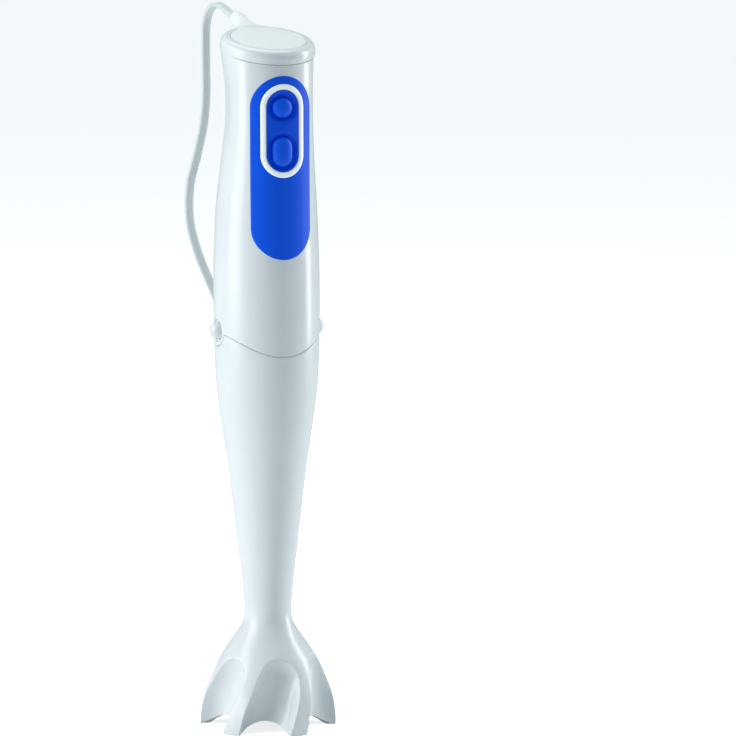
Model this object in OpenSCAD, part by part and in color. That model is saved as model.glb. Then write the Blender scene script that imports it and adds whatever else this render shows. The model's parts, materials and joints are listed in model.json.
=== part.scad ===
// Immersion blender on its six-legged bell, with a two-button motor handle.
// Origin: floor point under the vertical axis. +Z up, the buttons face -Y, the cord leaves towards +Y.

/* [Bell] */
// Radius of the bell at its feet
bell_r = 34.8; // [34:0.1:35.5]
// Height of the bell's hollow
bell_hollow_h = 46; // [45:0.5:46.5]
// Radius of each scooped flute
flute_r = 12.4; // [12:0.1:12.6]
// Distance of a flute's centre line from the axis
flute_axis_r = 35.5; // [35:0.5:36.5]
// The same distance at the flute's round top
flute_top_r = 32; // [31.5:0.5:34]
// Height at which a flute's round top is centred
flute_top_z = 29.5; // [27:0.5:30]
// How far a flute leans sideways over its height
flute_lean = 10; // [8:0.5:10]
// Radius of the arch between two feet
arch_r = 16; // [15:0.5:17]
// Height of the arch between two feet
arch_h = 6; // [5:0.5:7]

/* [Walls] */
// Wall of the shaft and of the bell
wall = 2.4; // [2.2:0.1:2.5]
// Gap at the seam between shaft and handle
seam_gap = 0.3; // [0.3:0.05:0.5]

/* [Handle] */
// Radius of the arched seam, seen from the side
seam_r = 37; // [36:0.5:38]
// Height of the seam arch's centre
seam_z = 165.5; // [165:0.5:166]
// Radius of the round lobe below each release button
lobe_r = 7.5; // [7.3:0.1:7.8]
// Radius of the handle's fuller front
front_r = 20.2; // [20:0.1:20.4]
// How far the fuller front is moved forward
front_y = 5; // [4.8:0.1:5.2]
// Slope of the top, in degrees
top_tilt = 15; // [14:0.5:16]
// Radius of the ring round the top
top_r = 23.7; // [23.5:0.1:24]
// Radius of the cap in the ring
cap_r = 18.8; // [18.6:0.1:19]

/* [Buttons] */
// Height of the upper, round button
speed_z = 315.3; // [315:0.1:316]
// Height of the lower, oval button
turbo_z = 293.4; // [293:0.1:294]
// Half width of both buttons
button_r = 5.3; // [5:0.1:5.4]
// Extra height of the oval button between its round ends
oval_extra = 4.8; // [4:0.1:5]
// Travel of the two front buttons
button_travel = 2; // [1.5:0.1:2]
// Height of the release buttons
release_z = 203; // [202.8:0.1:203.2]
// Radius of a release button
release_r = 4.3; // [4:0.1:4.4]

/* [Drive] */
// Radius of the drive rod
rod_r = 3; // [2.9:0.05:3]
// Radius of the motor shaft
shaft_r = 2.5; // [2.4:0.05:2.5]
// Running clearance of a bush or bearing
run_gap = 0.05; // [0.03:0.01:0.08]
// Length of the blade, tip to tip
blade_l = 37; // [34:0.5:37]

/* [Cord] */
// Width of the flat cord, used as the diameter of its round stand-in
cord_w = 4.9; // [4.9:0.1:5]

/* [Hidden] */
$fn = 64;
eps = 0.01;

white = [0.93, 0.96, 0.97];
blue = [0.03, 0.3, 0.88];
steel = [0.75, 0.76, 0.78];
copper = [0.75, 0.42, 0.2];

// Outlines as [radius, height], smoothed by a curve through them
bell_keys = [[bell_r, 0], [33.5, 12], [29.6, 24], [24.2, 36], [16.4, 47], [12.6, 54], [12, 59]];
shaft_keys = [[12, 59], [13.2, 75], [16.7, 105], [20.3, 135], [24.6, 165], [26.3, 185], [26.6, 207]];
handle_keys = [[26.3, 185], [26.6, 207], [26.8, 228], [26.2, 250], [24.6, 273], [22, 293], [20.2, 311],
    [20.6, 326], [22.2, 337], [22.8, 348]];

// Point t of the way from b to c on a smooth curve through a, b, c and d
function curve_point(a, b, c, d, t) =
    0.5 * (2 * b + (c - a) * t + (2 * a - 5 * b + 4 * c - d) * t * t + (3 * b - a - 3 * c + d) * t * t * t);
function smooth(p, steps) = [
    for (i = [0 : len(p) - 2]) for (s = [0 : steps - 1])
        curve_point(p[max(i - 1, 0)], p[i], p[i + 1], p[min(i + 2, len(p) - 1)], s / steps),
    p[len(p) - 1]];
function inset(p, by) = [for (q = p) [q[0] - by, q[1]]];
function above(p, z) = [for (q = p) if (q[1] >= z) q];

bell_line = smooth(bell_keys, 3);
shaft_line = smooth(shaft_keys, 2);
handle_line = smooth(handle_keys, 2);

flute_dir = -110;   // direction of the first flute
foot_side = -2.5;   // where a flute starts at the feet, to one side of its direction
insert_r = 23.2;    // cylinder in the shaft's mouth that holds the insert
insert_z = 172;     // shelf that the insert stands on
mouth_r = 24.3;     // cylinder in the handle's mouth that holds the carrier
carrier_z = 203.2;  // shoulder of the carrier above the shaft's rim
motor_z = 231;      // bottom of the laminations
motor_h = 28;       // height of the laminations
brush_z = 273.5;    // height of the brushes
top_z = 342.3;      // underside of the top ring, at the ring's centre
top_y = -2.2;       // the ring's centre, forward of the axis

module ring(r_out, r_in, h) {
    difference() {
        cylinder(r = r_out, h = h);
        translate([0, 0, -1]) cylinder(r = r_in, h = h + 2);
    }
}

module upright_stadium(r, low, high, depth_from, depth_to) {
    // a stadium standing in the XZ plane, extruded along Y
    translate([0, depth_to, 0]) rotate([90, 0, 0]) linear_extrude(depth_to - depth_from) {
        translate([0, low + r]) circle(r = r);
        translate([0, high - r]) circle(r = r);
        translate([-r, low + r]) square([2 * r, high - low - 2 * r]);
    }
}

// ---- Blending shaft ----

module flutes(grow) {
    // each flute starts a little to one side of its direction, and leans to the other side and inwards
    rise = [flute_top_r - flute_axis_r, flute_lean, flute_top_z];
    for (k = [0 : 5]) rotate([0, 0, flute_dir + 60 * k]) translate([flute_axis_r, foot_side, 0])
        rotate([0, acos(rise[2] / norm(rise)), atan2(rise[1], rise[0])]) {
            translate([0, 0, -20]) cylinder(r = flute_r + grow, h = norm(rise) + 20);
            translate([0, 0, norm(rise)]) sphere(r = flute_r + grow);
        }
}

module foot_arches() {
    foot_dir = flute_dir + atan(foot_side / flute_axis_r);
    for (k = [0 : 2]) rotate([0, 0, foot_dir + 60 * k])
        translate([-60, 0, arch_h - arch_r]) rotate([0, 90, 0]) cylinder(r = arch_r, h = 120);
}

module above_seam(gap) {
    // everything on the handle's side of the seam
    difference() {
        translate([-50, -50, 180]) cube([100, 100, 240]);
        translate([-60, 0, seam_z]) rotate([0, 90, 0]) cylinder(r = seam_r - gap, h = 120, $fn = 96);
    }
    translate([-60, 0, release_z]) rotate([0, 90, 0]) cylinder(r = lobe_r + gap, h = 120);
}

module shaft_housing() {
    color(white) difference() {
        rotate_extrude($fn = 96) polygon(concat([[0, 0]], bell_line, shaft_line, [[0, 207]]));
        above_seam(seam_gap);
        flutes(0);
        foot_arches();
        difference() {
            rotate_extrude($fn = 96)
                polygon(concat([[0, -1], [bell_r - wall, -1]],
                    [for (q = inset(bell_line, wall)) if (q[1] < bell_hollow_h - 2) q],
                    [[13.2, bell_hollow_h], [0, bell_hollow_h]]));
            flutes(wall);
        }
        rotate_extrude($fn = 96)
            polygon(concat([[0, 68], [12.7 - wall, 68]], above(inset(shaft_line, wall), 70), [[0, 208]]));
        translate([0, 0, insert_z]) cylinder(r = insert_r, h = 50);
        translate([0, 0, 40]) cylinder(r = 6, h = 40);
    }
}

module shaft_insert() {
    color("gainsboro") translate([0, 0, insert_z]) difference() {
        cylinder(r = insert_r, h = 24);
        translate([0, 0, 4]) cylinder(r = 22.6, h = 17);
        translate([0, 0, 20]) cylinder(r = 22, h = 10);
        translate([0, 0, 23]) cylinder(r1 = 22, r2 = 23, h = 1 + eps);
        translate([0, 0, -1]) cylinder(r = 6, h = 10);
        for (a = [0 : 60 : 300]) rotate([0, 0, a + 30]) translate([15, 0, -1]) cylinder(r = 3.5, h = 6);
    }
    color("gainsboro") translate([0, 0, insert_z + 4]) ring(9, 6, 4);
}

module upper_bush() {
    color("tan") translate([0, 0, insert_z]) ring(6, rod_r + run_gap, 8);
}

module lower_bush() {
    color("tan") translate([0, 0, 51.6]) ring(6, rod_r + run_gap, 16.4);
}

module shaft_seal() {
    color("dimgray") translate([0, 0, 47]) difference() {
        ring(6, rod_r + run_gap, 4.6);
        translate([0, 0, -1]) ring(4.8, 3.8, 3.2);
    }
}

module seal_retainer() {
    color(steel) translate([0, 0, 44.9]) {
        ring(6, 3.7, 2.1);
        ring(7.4, 5, 1.1);
    }
}

// ---- Drive shaft ----

module drive_rod() {
    color(steel) translate([0, 0, 7]) cylinder(r = rod_r, h = 177);
}

module driven_coupling() {
    color("dimgray") difference() {
        union() {
            translate([0, 0, 181]) cylinder(r = 6.5, h = 3.4);
            translate([0, 0, 184.4]) cylinder(r = 9, h = 7.6);
        }
        translate([0, 0, 180]) cylinder(r = rod_r, h = 4);
        translate([0, 0, 184.4]) cylinder(r = 5.2, h = 10, $fn = 6);
    }
}

module thrust_washer() {
    color(steel) translate([0, 0, 180.15]) ring(6, rod_r, 0.85);
}

module retaining_clip() {
    color(steel) translate([0, 0, 43.8]) difference() {
        ring(5, rod_r, 0.8);
        translate([0, -1.2, -1]) cube([8, 2.4, 3]);
    }
}

module blade_hub() {
    color(steel) translate([0, 0, 12]) difference() {
        union() {
            cylinder(r = 5.5, h = 5);
            translate([0, 0, 5]) cylinder(r1 = 5.5, r2 = 4, h = 3);
        }
        translate([0, 0, -1]) cylinder(r = rod_r, h = 12);
    }
}

module blade() {
    // two wings with raised and lowered tips round a flat middle
    wing_from = 6;
    wing_l = blade_l / 2 - wing_from - 1.3;
    color(steel) difference() {
        union() {
            translate([0, 0, 10.4]) cylinder(r = 7.5, h = 1.6);
            for (side = [0, 1]) rotate([0, 0, 180 * side + 25]) translate([wing_from, 0, 11.2])
                rotate([0, side == 0 ? -14 : 10, 0]) translate([-1, 0, -0.8]) linear_extrude(1.6)
                    polygon([[-1, -5], [wing_l - 3, -4.6], [wing_l, -1.5], [wing_l, 3], [-1, 5]]);
        }
        translate([0, 0, 5]) cylinder(r = rod_r, h = 10);
        translate([0, 0, 12]) cylinder(r = 5.6, h = 8);
        translate([0, 0, 5]) cylinder(r = 5.1, h = 5.4);
    }
}

module blade_nut() {
    color(steel) translate([0, 0, 6]) difference() {
        union() {
            translate([0, 0, 1]) cylinder(r = 5, h = 3.4);
            cylinder(r1 = 3.8, r2 = 5, h = 1);
        }
        translate([0, 0, 1]) cylinder(r = rod_r, h = 5);
    }
}

// ---- Handle casing ----

module handle_form(grow) {
    rotate_extrude($fn = 96) polygon(concat([[0, 185]], inset(handle_line, -grow), [[0, 348]]));
    translate([0, -front_y, 256]) cylinder(r = front_r + grow, h = 92, $fn = 96);
}

module under_top() {
    translate([0, top_y, top_z]) rotate([top_tilt, 0, 0]) translate([-100, -150, -250]) cube([200, 300, 250]);
}

module guard_form(grow) {
    // straight cone that runs back and up from the cap
    translate([0, 12, 350]) rotate([-77.4, 0, 0]) {
        cylinder(r1 = 9 + grow, r2 = 3.4 + grow, h = 25);
        translate([0, 0, 25 - eps]) cylinder(r = 3.7 + grow, h = 7 + eps);
    }
}

panel_r = 15.75;
panel_low = 239.9;
panel_high = 331.1;
ring_r = 11.3;
ring_low = 280.7;
ring_high = 327;
plate_r = 8.5;
plate_low = ring_low + ring_r - plate_r;
plate_high = ring_high - ring_r + plate_r;

module button_outline(grow) {
    // round button above, oval button below, as solids along Y
    translate([0, -18, speed_z]) rotate([90, 0, 0]) cylinder(r = button_r + grow, h = 12);
    upright_stadium(button_r + grow, turbo_z - button_r - oval_extra / 2 - grow,
        turbo_z + button_r + oval_extra / 2 + grow, -30, -18);
}

module handle_shell() {
    color(white) difference() {
        intersection() {
            handle_form(0);
            above_seam(0);
            under_top();
        }
        rotate_extrude($fn = 96) polygon(concat([[0, 184]], inset(handle_line, wall), [[0, 349]]));
        translate([0, -front_y, 262]) cylinder(r = front_r - wall, h = 100, $fn = 96);
        translate([0, 0, 180]) cylinder(r = mouth_r, h = 32);
        intersection() {
            upright_stadium(panel_r + 0.02, panel_low, panel_high, -40, 0);
            difference() {
                handle_form(1);
                handle_form(-1);
            }
        }
        upright_stadium(plate_r + 0.02, plate_low, plate_high, -40, -10);
        for (side = [-1, 1]) translate([20 * side, 0, release_z]) rotate([0, 90 * side, 0])
            cylinder(r = release_r + 0.25, h = 12);
        for (side = [-1, 1]) translate([25.6 * side, 0, release_z]) rotate([0, 90 * side, 0])
            cylinder(r = 5.9, h = 5);
        guard_form(0.02);
    }
}

module grip_panel() {
    color(blue) difference() {
        intersection() {
            upright_stadium(panel_r, panel_low + 0.02, panel_high - 0.02, -40, 0);
            difference() {
                handle_form(0.15);
                handle_form(-1);
            }
        }
        upright_stadium(ring_r + 0.02, ring_low, ring_high, -40, 0);
    }
}

module button_ring() {
    color("white") intersection() {
        difference() {
            upright_stadium(ring_r, ring_low + 0.02, ring_high - 0.02, -40, 0);
            upright_stadium(plate_r, plate_low, plate_high, -41, 1);
        }
        difference() {
            handle_form(0.5);
            handle_form(-1);
        }
    }
}

module button_plate() {
    color([0.02, 0.22, 0.75]) difference() {
        intersection() {
            upright_stadium(plate_r - 0.02, plate_low + 0.02, plate_high - 0.02, -40, -10);
            difference() {
                handle_form(-0.1);
                handle_form(-wall);
            }
        }
        button_outline(0.25);
        intersection() {
            button_outline(1.7);
            translate([-20, -40, 270]) cube([40, 16, 70]);
        }
    }
}

module top_ring() {
    seat_r = cap_r - 2;
    color(white) difference() {
        translate([0, top_y, top_z]) rotate([top_tilt, 0, 0]) rotate_extrude($fn = 96)
            polygon(concat([[seat_r, 0], [top_r - 0.5, 0], [top_r, 0.5]],
                [for (a = [0 : 15 : 90]) [top_r - 4 + 4 * cos(a), 2.6 + 4.2 * sin(a)]],
                [[cap_r + 0.02, 6.8], [cap_r + 0.02, 4.2], [seat_r, 4.2]]));
        guard_form(0.02);
    }
}

module top_cap() {
    color([0.88, 0.92, 0.93]) difference() {
        translate([0, top_y, top_z]) rotate([top_tilt, 0, 0]) translate([0, 0, 4.2])
            cylinder(r = cap_r, h = 2.7);
        guard_form(0.02);
    }
}

module cord_guard() {
    color(white) guard_form(0);
}

// ---- Inside the handle ----

module base_carrier() {
    color("gray") difference() {
        union() {
            translate([0, 0, 199]) cylinder(r = 22.8, h = 9);
            translate([0, 0, carrier_z]) cylinder(r = mouth_r, h = 208 - carrier_z);
            translate([0, 0, 188.5]) ring(21.6, 20.1, 11);
        }
        translate([0, 0, 180]) cylinder(r = 10, h = 40);
        for (side = [-1, 1]) {
            translate([20 * side, 0, 200.2]) cube([13.6, 13, 24.4], center = true);
            translate([25 * side, 0, release_z]) cube([5, 13, 14], center = true);
        }
        for (a = [90, 210, 330]) rotate([0, 0, a]) translate([18, 0, 190]) {
            cylinder(r = 1.4, h = 30);
            cylinder(r = 2.6, h = 11);
        }
    }
}

module base_gasket() {
    color("dimgray") translate([0, 0, 197.2]) difference() {
        ring(22.4, 21.65, 1.8);
        for (side = [-1, 1]) translate([20 * side, 0, 0]) cube([14, 13, 8], center = true);
    }
}

module base_screws() {
    color(steel) for (a = [90, 210, 330]) rotate([0, 0, a]) translate([18, 0, 199]) {
        cylinder(r = 2.5, h = 2);
        cylinder(r = 1.4, h = 16.5);
    }
}

module lower_frame() {
    color("darkgray") difference() {
        union() {
            translate([0, 0, 210]) ring(21.4, 17, 3);
            translate([0, 0, 211]) cylinder(r = 10, h = 4.5);
            for (a = [30 : 60 : 330]) rotate([0, 0, a]) translate([8, -3, 210]) cube([11, 6, 3]);
            for (a = [90, 210, 330]) rotate([0, 0, a]) translate([18, 0, 208]) cylinder(r = 3.3, h = 7.5);
            for (a = [48, 228]) rotate([0, 0, a]) translate([18, 0, 210]) cylinder(r = 3, h = motor_z - 210);
        }
        translate([0, 0, 205]) cylinder(r = 8, h = 20);
        for (a = [90, 210, 330]) rotate([0, 0, a]) translate([18, 0, 200]) cylinder(r = 1.4, h = 40);
        for (a = [48, 228]) rotate([0, 0, a]) translate([18, 0, 200]) cylinder(r = 1.5, h = 40);
    }
}

module bearing(z) {
    color(steel) translate([0, 0, z]) difference() {
        ring(8, shaft_r + run_gap, 5);
        for (h = [-1, 4.5]) translate([0, 0, h]) ring(6.6, 4, 1.5);
    }
}

module lower_bearing() {
    bearing(210.5);
}

module upper_bearing() {
    bearing(281);
}

module lower_damper() {
    color("dimgray") translate([0, 0, 209.5]) difference() {
        ring(mouth_r, 21.4, 2.5);
        for (a = [0 : 30 : 330]) rotate([0, 0, a]) translate([mouth_r + 0.6, 0, -1]) cylinder(r = 1.5, h = 5);
    }
}

module upper_frame() {
    color("darkgray") difference() {
        union() {
            translate([0, 0, 281]) cylinder(r = 10.5, h = 5.5);
            for (a = [48, 228]) rotate([0, 0, a]) {
                translate([0, -3.5, 281]) cube([18, 7, 4]);
                translate([18, 0, motor_z + motor_h]) cylinder(r = 2.4, h = 26);
            }
            for (a = [0, 180]) rotate([0, 0, a]) translate([9, -5, 279]) cube([9.5, 10, 4]);
        }
        translate([0, 0, 275]) cylinder(r = 8, h = 20);
        for (a = [48, 228]) rotate([0, 0, a]) translate([18, 0, 250]) cylinder(r = 1.5, h = 40);
    }
}

module stator_core() {
    color("slategray") difference() {
        intersection() {
            translate([0, 0, motor_z]) cylinder(r = 22.6, h = motor_h, $fn = 96);
            translate([-22.6, -20, motor_z]) cube([45.2, 40, motor_h]);
        }
        translate([0, 0, 220]) cylinder(r = 11.6, h = 60);
        translate([-19, -7.5, 220]) cube([38, 15, 60]);
        for (a = [48, 228]) rotate([0, 0, a]) translate([18, 0, 200]) cylinder(r = 1.5, h = 80);
    }
}

module field_windings() {
    coil_r = 14.9;
    color(copper) for (side = [0, 180]) rotate([0, 0, side]) difference() {
        union() {
            for (x = [-18.8, 12.6]) translate([x, 0.5, motor_z - 4.5]) cube([6.2, 6.8, motor_h + 9]);
            for (z = [motor_z - 4.5, motor_z + motor_h]) translate([0, 0, z]) difference() {
                cylinder(r = coil_r, h = 4.5);
                translate([-30, -60, -1]) cube([60, 60.5, 10]);
            }
        }
        translate([0, 0, 220]) cylinder(r = 12, h = 60);
    }
}

module motor_bolts() {
    color(steel) for (a = [48, 228]) rotate([0, 0, a]) translate([18, 0, 208.2]) {
        cylinder(r = 1.5, h = 78);
        translate([0, 0, 76.8]) cylinder(r = 2.4, h = 1.8);
        cylinder(r = 2.4, h = 1.8);
    }
}

module brush_holders() {
    color("goldenrod") for (side = [0, 180]) rotate([0, 0, side]) difference() {
        translate([9, -4, brush_z - 3.5]) cube([11, 8, 9]);
        translate([8, -3, brush_z - 2.5]) cube([11, 6, 5]);
    }
}

module carbon_brushes() {
    color("black") for (side = [0, 180]) rotate([0, 0, side])
        translate([8.05, -3, brush_z - 2.5]) cube([6.5, 6, 5]);
}

module brush_springs() {
    color(steel) for (side = [0, 180]) rotate([0, 0, side])
        for (i = [0 : 3]) translate([14.55 + i * 1.15, 0, brush_z]) rotate([0, 90, 0]) ring(2, 1.3, 0.95);
    color(steel) for (side = [0, 180]) rotate([0, 0, side])
        translate([14.55, -0.4, brush_z + 1.3]) cube([4.4, 0.8, 0.7]);
}

module switch_board() {
    color("darkgreen") translate([-10, -10, 286.8]) cube([20, 1.6, 42]);
}

module micro_switch(z) {
    color("black") {
        translate([-4, -14, z - 5.5]) cube([8, 4, 11]);
        translate([0, -14 + eps, z]) rotate([90, 0, 0]) cylinder(r = 1.5, h = 1);
    }
}

module speed_switch() {
    micro_switch(speed_z);
}

module turbo_switch() {
    micro_switch(turbo_z);
}

module button_bracket() {
    // plate in front of the board that guides the two button stems
    color("lightgray") difference() {
        union() {
            translate([-9, -17, 286.8]) cube([18, 1.5, 38]);
            for (x = [-9, 7.4]) translate([x, -17, 286.8]) cube([1.6, 7, 38]);
        }
        for (z = [speed_z, turbo_z]) translate([0, 0, z]) rotate([90, 0, 0]) cylinder(r = 2.3, h = 30);
    }
}

module suppression_capacitor() {
    color("gold") {
        translate([-6, 6.5, 290]) cube([12, 6, 13]);
        for (x = [-4, 4]) translate([x, 9.5, 286.6]) cylinder(r = 0.4, h = 3.5);
    }
}

module lead_wires() {
    color("saddlebrown") translate([-2.6, 9.5, 303]) cylinder(r = 1, h = 33);
    color("royalblue") translate([2.6, 9.5, 303]) cylinder(r = 1, h = 33);
}

module cord_clamp() {
    color("lightgray") difference() {
        translate([-8, 6.5, 334]) cube([16, 6, 7]);
        for (x = [-2.6, 2.6]) translate([x, 9.5, 330]) cylinder(r = 1, h = 6);
        for (x = [-6, 6]) translate([x, 5, 337.5]) rotate([-90, 0, 0]) cylinder(r = 1, h = 6.5);
    }
}

module clamp_screws() {
    color(steel) for (x = [-6, 6]) translate([x, 5, 337.5]) rotate([-90, 0, 0]) {
        cylinder(r = 1, h = 6.5);
        cylinder(r = 1.8, h = 1.5);
    }
}

module release_springs() {
    color(steel) for (side = [-1, 1]) translate([13.2 * side, 0, release_z]) rotate([0, 90 * side, 0]) {
        for (i = [0 : 3]) translate([0, 0, i * 1.05]) ring(2.4, 1.8, 0.8);
        translate([1.8, -0.3, 0]) cube([0.6, 0.6, 3.95]);
    }
}

// ---- Rotor ----

module motor_shaft() {
    color(steel) translate([0, 0, 194]) cylinder(r = shaft_r, h = 94);
}

module armature_core() {
    color("slategray") translate([0, 0, motor_z]) difference() {
        cylinder(r = 11, h = motor_h);
        translate([0, 0, -1]) cylinder(r = shaft_r, h = 40);
        for (a = [0 : 45 : 315]) rotate([0, 0, a]) translate([8.4, 0, -1]) cylinder(r = 1.6, h = 40);
    }
}

module armature_windings() {
    color(copper) {
        for (a = [0 : 45 : 315]) rotate([0, 0, a]) translate([8.4, 0, motor_z - 4]) {
            cylinder(r = 1.6, h = motor_h + 8);
        }
        for (z = [motor_z - 4, motor_z + motor_h]) translate([0, 0, z]) ring(10.5, shaft_r, 4);
    }
}

module commutator() {
    color(copper) translate([0, 0, 265.5]) difference() {
        union() {
            cylinder(r = 8.8, h = 2);
            cylinder(r = 8, h = 14);
        }
        translate([0, 0, -1]) cylinder(r = shaft_r, h = 20);
        for (a = [0 : 22.5 : 337.5]) rotate([0, 0, a]) translate([7.4, -0.2, 1]) cube([3, 0.4, 20]);
    }
}

module cooling_fan() {
    color("lightgray") difference() {
        union() {
            translate([0, 0, 218]) cylinder(r = 5, h = 7.5);
            translate([0, 0, 224.3]) cylinder(r = 14.6, h = 1.2);
            for (a = [0 : 40 : 320]) rotate([0, 0, a]) translate([4, -0.6, 218.5]) cube([10, 1.2, 6.5]);
        }
        translate([0, 0, 210]) cylinder(r = shaft_r, h = 20);
    }
}

module drive_coupling() {
    color("dimgray") difference() {
        union() {
            translate([0, 0, 186.8]) cylinder(r = 4.7, h = 6, $fn = 6);
            translate([0, 0, 192.4]) cylinder(r = 8, h = 13);
        }
        translate([0, 0, 194]) cylinder(r = shaft_r, h = 20);
    }
}

// ---- Buttons and latches ----

module button_stem(z) {
    translate([0, -19.4, z]) rotate([90, 0, 0]) cylinder(r = button_r + 1, h = 1);
    translate([0, -15.05 - button_travel, z]) rotate([90, 0, 0]) cylinder(r = 1.8, h = 3.2);
}

module speed_button() {
    color(blue) {
        intersection() {
            translate([0, -19.5, speed_z]) rotate([90, 0, 0]) cylinder(r = button_r, h = 12);
            translate([0, -12.4, speed_z]) sphere(r = 13.6);
        }
        button_stem(speed_z);
    }
}

module turbo_button() {
    color(blue) {
        intersection() {
            upright_stadium(button_r, turbo_z - button_r - oval_extra / 2,
                turbo_z + button_r + oval_extra / 2, -32, -19.5);
            translate([0, -8, turbo_z]) sphere(r = 18);
        }
        button_stem(turbo_z);
    }
}

module release_button(side) {
    // domed cap outside the wall, flange inside it
    color(white) translate([0, 0, release_z]) rotate([0, 90 * side, 0]) {
        intersection() {
            translate([0, 0, 23]) cylinder(r = release_r, h = 10);
            translate([0, 0, 17.4]) sphere(r = 12);
        }
        translate([0, 0, 21]) cylinder(r = 5.4, h = 2.4);
    }
}

module release_button_left() {
    release_button(-1);
}

module release_button_right() {
    release_button(1);
}

module latch_hook(side) {
    // arm hung from the button's flange, with a nose that faces outwards
    color(steel) mirror([side < 0 ? 1 : 0, 0, 0]) {
        translate([19.4, -3.8, 189.5]) cube([1.6, 7.6, release_z + 4 - 189.5]);
        translate([20.9, -3.8, 189.5]) cube([0.8, 7.6, 2.6]);
    }
}

module latch_hook_left() {
    latch_hook(-1);
}

module latch_hook_right() {
    latch_hook(1);
}

// ---- Cord ----

// Route of the free cord, from the guard's end to the hank's far fold
cord_route = [[0, 43.5, 357.05], [0, 47.5, 357.95], [0, 52, 359], [0, 58.5, 360.6], [0, 65.5, 362.3],
    [0, 72.5, 363.2], [0, 79.8, 362], [0, 86.6, 358.4], [0, 90.5, 352.4], [0, 91.6, 345], [0, 91.5, 332],
    [0, 91.5, 316], [-1.5, 91.5, 300], [-5, 92, 284], [-8.5, 93.5, 268], [-8, 96, 250], [-2.5, 99, 232],
    [7, 103, 212], [18, 108, 190], [28, 113, 165], [36, 118, 140], [43, 123, 112], [49, 128, 84],
    [54.5, 132.5, 60], [58.3, 136, 43], [60.3, 138, 31], [60.1, 138.9, 22.5], [57.4, 141.4, 15],
    [52.4, 144.1, 9], [46.3, 145.2, 5.2], [40.1, 144.1, 3.1], [34.6, 141, 2.5]];

function unit(v) = v / norm(v);
function sweep_frame(p, i) = unit(p[min(i + 1, len(p) - 1)] - p[max(i - 1, 0)]);
function sweep_ring(c, t, w, h, n) =
    let (side = unit(cross([0.02, 1, 0.05], t)), up = unit(cross(t, side)))
    [for (k = [0 : n - 1]) c + side * (w / 2 * cos(360 * k / n)) + up * (h / 2 * sin(360 * k / n))];

module tube(p, w, h, n) {
    rings = [for (i = [0 : len(p) - 1]) sweep_ring(p[i], sweep_frame(p, i), w, h, n)];
    last = len(p) - 1;
    polyhedron(
        points = [for (r = rings) for (q = r) q],
        faces = concat(
            [[for (k = [0 : n - 1]) k]],
            [for (i = [0 : last - 1]) for (k = [0 : n - 1])
                [i * n + k, (i + 1) * n + k, (i + 1) * n + (k + 1) % n, i * n + (k + 1) % n]],
            [[for (k = [n - 1 : -1 : 0]) last * n + k]]));
}

module power_cord() {
    color(white) tube(smooth(cord_route, 2), cord_w, cord_w, 8);
}

hank_turn = 20;        // the hank lies straight behind the handle as it is seen from the front left
hank_near = 55;
hank_l = 100;
hank_w = 39.5;
hank_h = 10;

module behind() {
    rotate([0, 0, -hank_turn]) children();
}

module cord_hank() {
    r = hank_w / 2;
    color(white) behind() linear_extrude(hank_h) {
        translate([0, hank_near + r]) circle(r = r);
        translate([0, hank_near + hank_l - r]) circle(r = r);
        translate([-r, hank_near + r]) square([hank_w, hank_l - hank_w]);
    }
}

module hank_tie() {
    color("dimgray") behind() translate([0, hank_near + 48, 0]) difference() {
        translate([-hank_w / 2 - 1, 0, 0]) cube([hank_w + 2, 8, hank_h + 1]);
        translate([-hank_w / 2, -1, -1]) cube([hank_w, 10, hank_h + 1]);
    }
}

plug_y = 52.5;
plug_l = 30;
plug_z = hank_h + 7.2;

module mains_plug() {
    color(white) behind() {
        translate([0, plug_y, plug_z]) rotate([-90, 0, 0]) linear_extrude(16) {
            translate([-10.5, -7]) square([21, 14]);
            for (x = [-10.5, 10.5]) translate([x, 0]) circle(r = 7);
        }
        translate([0, plug_y + 16, plug_z - 7]) linear_extrude(14)
            polygon([[-17.5, 0], [17.5, 0], [8, plug_l - 16], [-8, plug_l - 16]]);
        translate([0, plug_y + plug_l, plug_z]) rotate([-90, 0, 0]) cylinder(r1 = 4.6, r2 = 3.2, h = 20);
    }
}

module plug_pins() {
    color(steel) behind() for (x = [-9.2, 9.2]) translate([x, plug_y, plug_z]) rotate([90, 0, 0])
        cylinder(r = 2, h = 18);
}

shaft_housing();
shaft_insert();
upper_bush();
lower_bush();
shaft_seal();
seal_retainer();
drive_rod();
driven_coupling();
thrust_washer();
retaining_clip();
blade_hub();
blade();
blade_nut();
handle_shell();
grip_panel();
button_ring();
button_plate();
top_ring();
top_cap();
cord_guard();
base_carrier();
base_gasket();
base_screws();
lower_frame();
upper_frame();
lower_bearing();
upper_bearing();
lower_damper();
stator_core();
field_windings();
motor_bolts();
brush_holders();
carbon_brushes();
brush_springs();
switch_board();
speed_switch();
turbo_switch();
button_bracket();
suppression_capacitor();
lead_wires();
cord_clamp();
clamp_screws();
release_springs();
motor_shaft();
armature_core();
armature_windings();
commutator();
cooling_fan();
drive_coupling();
speed_button();
turbo_button();
release_button_left();
release_button_right();
latch_hook_left();
latch_hook_right();
power_cord();
cord_hank();
hank_tie();
mains_plug();
plug_pins();
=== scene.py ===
import json
import math
import bpy
import numpy as np
from mathutils import Matrix, Vector


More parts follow.
